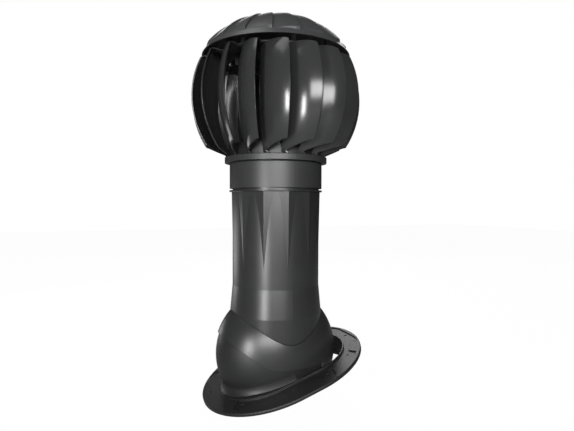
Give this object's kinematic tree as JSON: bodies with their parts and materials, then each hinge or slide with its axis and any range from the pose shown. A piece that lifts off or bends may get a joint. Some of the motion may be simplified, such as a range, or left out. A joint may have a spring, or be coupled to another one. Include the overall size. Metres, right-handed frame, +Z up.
{
  "type": "roof turbine ventilator",
  "caption": "Wind-driven roof turbine ventilator of graphite plastic: slatted spinning head on a round duct that swivels on a sloping roof flange.",
  "frame": {"origin": "where the pipe's axis meets the plane of the roof flange's underside", "axes": "+Z up along the pipe when it stands plumb; X along the swivel axis; -Y down the roof slope, which is 17.5 degrees at rest"},
  "size_m": [0.3076, 0.3172, 0.7044],
  "materials": {
    "graphite_plastic": "gloss",
    "plated_steel": "satin",
    "bearing_steel": "polished"
  },
  "bodies": {
    "roof_base": {"roof_flange": "graphite_plastic"},
    "duct_stack": {"swivel_hood": "graphite_plastic", "clamp_washers": "plated_steel", "clamp_screws": "plated_steel", "vent_pipe": "graphite_plastic", "turbine_collar": "graphite_plastic", "axle": "plated_steel", "axle_nut_lower": "plated_steel", "bearing_lower_inner": "bearing_steel", "bearing_lower_balls": "bearing_steel", "bearing_spacer": "plated_steel", "bearing_upper_inner": "bearing_steel", "bearing_upper_balls": "bearing_steel", "axle_washer": "plated_steel", "axle_nut_upper": "plated_steel"},
    "rotor": {"rotor_ring": "graphite_plastic", "vane_01": "graphite_plastic", "vane_02": "graphite_plastic", "vane_03": "graphite_plastic", "vane_04": "graphite_plastic", "vane_05": "graphite_plastic", "vane_06": "graphite_plastic", "vane_07": "graphite_plastic", "vane_08": "graphite_plastic", "vane_09": "graphite_plastic", "vane_10": "graphite_plastic", "vane_11": "graphite_plastic", "vane_12": "graphite_plastic", "vane_13": "graphite_plastic", "vane_14": "graphite_plastic", "vane_15": "graphite_plastic", "vane_16": "graphite_plastic", "vane_17": "graphite_plastic", "vane_18": "graphite_plastic", "crown_hub": "graphite_plastic", "bearing_lower_outer": "bearing_steel", "bearing_upper_outer": "bearing_steel", "top_cap": "graphite_plastic", "cap_screws": "plated_steel"}
  },
  "joints": [
    {"name": "tilt", "type": "hinge", "parent": "roof_base", "child": "duct_stack", "pos_m": [0, 0, 0.04089], "axis": [-1, 0, 0], "range_deg": [-2.5, 27.5]},
    {"name": "spin", "type": "hinge", "parent": "duct_stack", "child": "rotor", "pos_m": [0, 0, 0.5], "axis": [0, 0, 1], "continuous": true}
  ]
}
